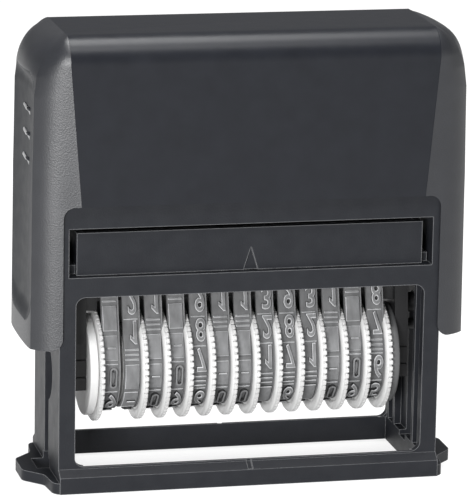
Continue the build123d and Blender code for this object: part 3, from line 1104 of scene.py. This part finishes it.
def make_cap(smooth, grained, matt, glint_rib):
    """The sprung cap with its ears, grips and spring posts."""
    shape = CapShape()
    cap = cap_skin(shape)
    for cutter in cap_cutters(shape):
        cut(cap, cutter)
    dress(cap, smooth, grained, matt, glint_rib)
    grain_faces(cap, shape)
    soften(cap.data, cap_smooth_angle)
    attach(cap, "cap")
    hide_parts("cap")
    for side, word in ((-1, "left"), (1, "right")):
        post = make_post("cap_post_" + word, side * spring_offset, cap_ceiling - post_length,
                         cap_ceiling + post_overlap)
        dress(post, smooth)
        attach(post, "cap")


# ---- felt, springs, dark webs of painted shade ----

def make_shade_webs(material):
    """Short dark webs under both ends of the type bridge, above the outer wheels, that paint the shade in the
    gaps there.
    """
    bridge_low, bridge_high = node_box("type_bridge")
    plate_inner = node_box("side_plate_right")[0][0]
    band_outer = node_box("band_13")[1][0]
    wheel_top = node_box("wheel_13")[1][2]
    for side, word in ((-1, "left"), (1, "right")):
        x0, x1 = sorted((side * (band_outer + web_gap), side * (plate_inner + web_gap)))
        z0, z1 = wheel_top + web_gap, bridge_low[2] + web_gap
        y1 = bridge_high[1] - web_gap
        points = [(x, y, z) for z in (z0, z1) for x, y in ((x0, -y1), (x1, -y1), (x1, y1), (x0, y1))]
        faces = [(3, 2, 1, 0), (4, 5, 6, 7), (0, 1, 5, 4), (1, 2, 6, 5), (2, 3, 7, 6), (3, 0, 4, 7)]
        web = make_object("shade_web_" + word, points, faces)
        dress(web, material)
        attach(web, "carrier")


def make_felt(material):
    """Ink pad with softly rounded edges."""
    low, high = node_box("ink_pad")
    pad = bpy.data.meshes.new("felt_pad")
    shape = bmesh.new()
    bmesh.ops.create_cube(shape, size=1)
    for v in shape.verts:
        for axis in range(3):
            v.co[axis] = (low[axis] + (v.co[axis] + 0.5) * (high[axis] - low[axis])) * MM
    bmesh.ops.bevel(shape, geom=list(shape.edges), offset=felt_round * MM, segments=felt_round_steps,
                    affect="EDGES")
    shape.to_mesh(pad)
    shape.free()
    thing = bpy.data.objects.new("felt_pad", pad)
    bpy.context.collection.objects.link(thing)
    soften(pad, edge_angle)
    dress(thing, material)
    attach(thing, "pad")
    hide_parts("ink_pad")


def coil(name, low, high):
    """Mesh of a round wire that winds up through a box."""
    radius = (high[0] - low[0]) / 2 - spring_wire_radius
    middle = (low + high) / 2
    rise = high[2] - low[2] - 2 * spring_wire_radius
    steps = spring_turns * spring_turn_steps
    curve = bpy.data.curves.new(name, "CURVE")
    curve.dimensions = "3D"
    curve.bevel_depth = spring_wire_radius * MM
    curve.bevel_resolution = spring_wire_steps
    curve.use_fill_caps = True
    spline = curve.splines.new("POLY")
    spline.points.add(steps)
    for k in range(steps + 1):
        angle = 2 * pi * spring_turns * k / steps
        z = low[2] + spring_wire_radius + rise * k / steps
        place = Vector((middle[0] + radius * cos(angle), middle[1] + radius * sin(angle), z)) * MM
        spline.points[k].co = (*place, 1)
    return mesh_of(curve)


def make_springs(material):
    """The return springs, which shorten as the cap goes down."""
    for word in ("left", "right"):
        name = "return_spring_" + word
        low, high = node_box(name)
        mesh = coil(name + "_coil", low, high)
        thing = bpy.data.objects.new(name + "_wire", mesh)
        bpy.context.collection.objects.link(thing)
        soften(mesh, spring_smooth_angle)
        dress(thing, material)
        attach(thing, "frame")
        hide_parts(name)
        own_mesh(thing)


# ---- camera, light and stage ----

def set_camera():
    """Camera at the photograph's place."""
    a = radians(view_left)
    e = radians(view_above)
    r = radians(view_roll)
    right = Vector((cos(a), -sin(a), 0))
    back = Vector((-sin(a) * cos(e), -cos(a) * cos(e), sin(e)))
    up = back.cross(right)
    across = cos(r) * right + sin(r) * up
    upright = -sin(r) * right + cos(r) * up
    place = (Vector(view_target) + view_distance * back) * MM
    data = bpy.data.cameras.new("camera")
    data.sensor_width = sensor_width
    data.sensor_fit = "HORIZONTAL"
    data.lens = focal_length_px * sensor_width / image_width_px
    data.clip_start = near_clip * MM
    camera = bpy.data.objects.new("camera", data)
    rows = [[across[i], upright[i], back[i], place[i]] for i in range(3)] + [[0, 0, 0, 1]]
    camera.matrix_world = Matrix(rows)
    bpy.context.collection.objects.link(camera)
    bpy.context.scene.camera = camera


def seen_or_mirrored(tree):
    """1 for rays from the camera and for mirrored or refracted ones, else 0."""
    path = tree.nodes.new("ShaderNodeLightPath")
    first = tree.nodes.new("ShaderNodeMath")
    first.operation = "MAXIMUM"
    tree.links.new(path.outputs["Is Camera Ray"], first.inputs[0])
    tree.links.new(path.outputs["Is Glossy Ray"], first.inputs[1])
    second = tree.nodes.new("ShaderNodeMath")
    second.operation = "MAXIMUM"
    tree.links.new(first.outputs[0], second.inputs[0])
    tree.links.new(path.outputs["Is Transmission Ray"], second.inputs[1])
    return second.outputs[0]


def set_world():
    """Plain white surroundings at one level."""
    world = bpy.data.worlds.new("studio")
    world.use_nodes = True
    background = world.node_tree.nodes["Background"]
    background.inputs["Color"].default_value = (1, 1, 1, 1)
    background.inputs["Strength"].default_value = world_level
    bpy.context.scene.world = world


def set_floor():
    """White floor that keeps the object's shadow."""
    size = floor_half_size
    floor = make_object("floor", [(-size, -size, 0), (size, -size, 0), (size, size, 0), (-size, size, 0)],
                        [(0, 1, 2, 3)])
    material, tree, shader = new_material("floor_white", [floor_grey] * 3, floor_roughness, 0.0)
    shader.inputs["Emission Color"].default_value = (1, 1, 1, 1)
    level = tree.nodes.new("ShaderNodeMapRange")
    level.inputs["To Max"].default_value = floor_glow
    tree.links.new(seen_or_mirrored(tree), level.inputs["Value"])
    tree.links.new(level.outputs["Result"], shader.inputs["Emission Strength"])
    dress(floor, material)


def area_light(name, azimuth, elevation, size, power):
    """Softbox round the object; azimuth in degrees to the left of the front."""
    a = radians(azimuth)
    e = radians(elevation)
    away = Vector((-sin(a) * cos(e), -cos(a) * cos(e), sin(e)))
    data = bpy.data.lights.new(name, "AREA")
    data.shape = "RECTANGLE"
    data.size = size[0] * MM
    data.size_y = size[1] * MM
    data.energy = power
    lamp = bpy.data.objects.new(name, data)
    middle = Vector((0, 0, lamp_target_height)) * MM
    lamp.location = middle + away * lamp_distance * MM
    lamp.rotation_euler = away.to_track_quat("Z", "Y").to_euler()
    bpy.context.collection.objects.link(lamp)


def set_lights():
    """Low key from the front left, a softbox overhead and a weak one high above the front."""
    for name, settings in softboxes.items():
        area_light(name, *settings)


# ---- everything together ----

def dress_frame(black, carrier, ground, white, grey):
    """Materials and moulded edges of the CAD pieces that stay."""
    dress_node("frame", black)
    dress_node("pad_tray", black)
    for word in ("left", "right"):
        dress_node("side_plate_" + word, carrier)
    dress_node("type_bridge", carrier)
    round_edges(dress_node("end_disc_left", white), disc_round, disc_round_steps)
    # the right end disc takes the grey copy as painted shade
    round_edges(dress_node("end_disc_right", grey), disc_round, disc_round_steps)
    round_edges(dress_node("wheel_axle", ground), axle_round, axle_round_steps)


def main():
    """Builds the scene."""
    bpy.context.scene.view_settings.view_transform = "Standard"
    set_camera()
    set_world()
    set_floor()
    set_lights()
    plastic = {name: moulded_plastic(name) for name in plastics}
    carrier_black = plastic["carrier_black"]
    white = white_plastic("wheel_white")
    axle = steel("axle_steel", axle_roughness, axle_stretch)
    dress_frame(plastic["frame_black"], carrier_black, axle, white, plastic["disc_shaded"])
    make_shade_webs(carrier_black)
    make_felt(inked_felt("felt"))
    make_springs(steel("spring_steel", spring_roughness, spring_stretch))
    path = BeltPath()
    glyphs = {symbol: glyph(symbol) for symbol in "123456789"}
    glyphs["0"] = oval_slot()
    pattern = band_pattern(path, glyphs)
    tones = tone_faces(pattern)
    rubbers = [grey_rubber("rubber_" + word, level) for word, level in rubber_levels.items()]
    for index in range(band_count):
        make_band(index, path, pattern, tones, rubbers)
        make_wheel(index, white)
    make_cap(plastic["cap_smooth"], leather_grain("cap_grain"), plastic["cap_grip"], plastic["rib_glint"])


main()
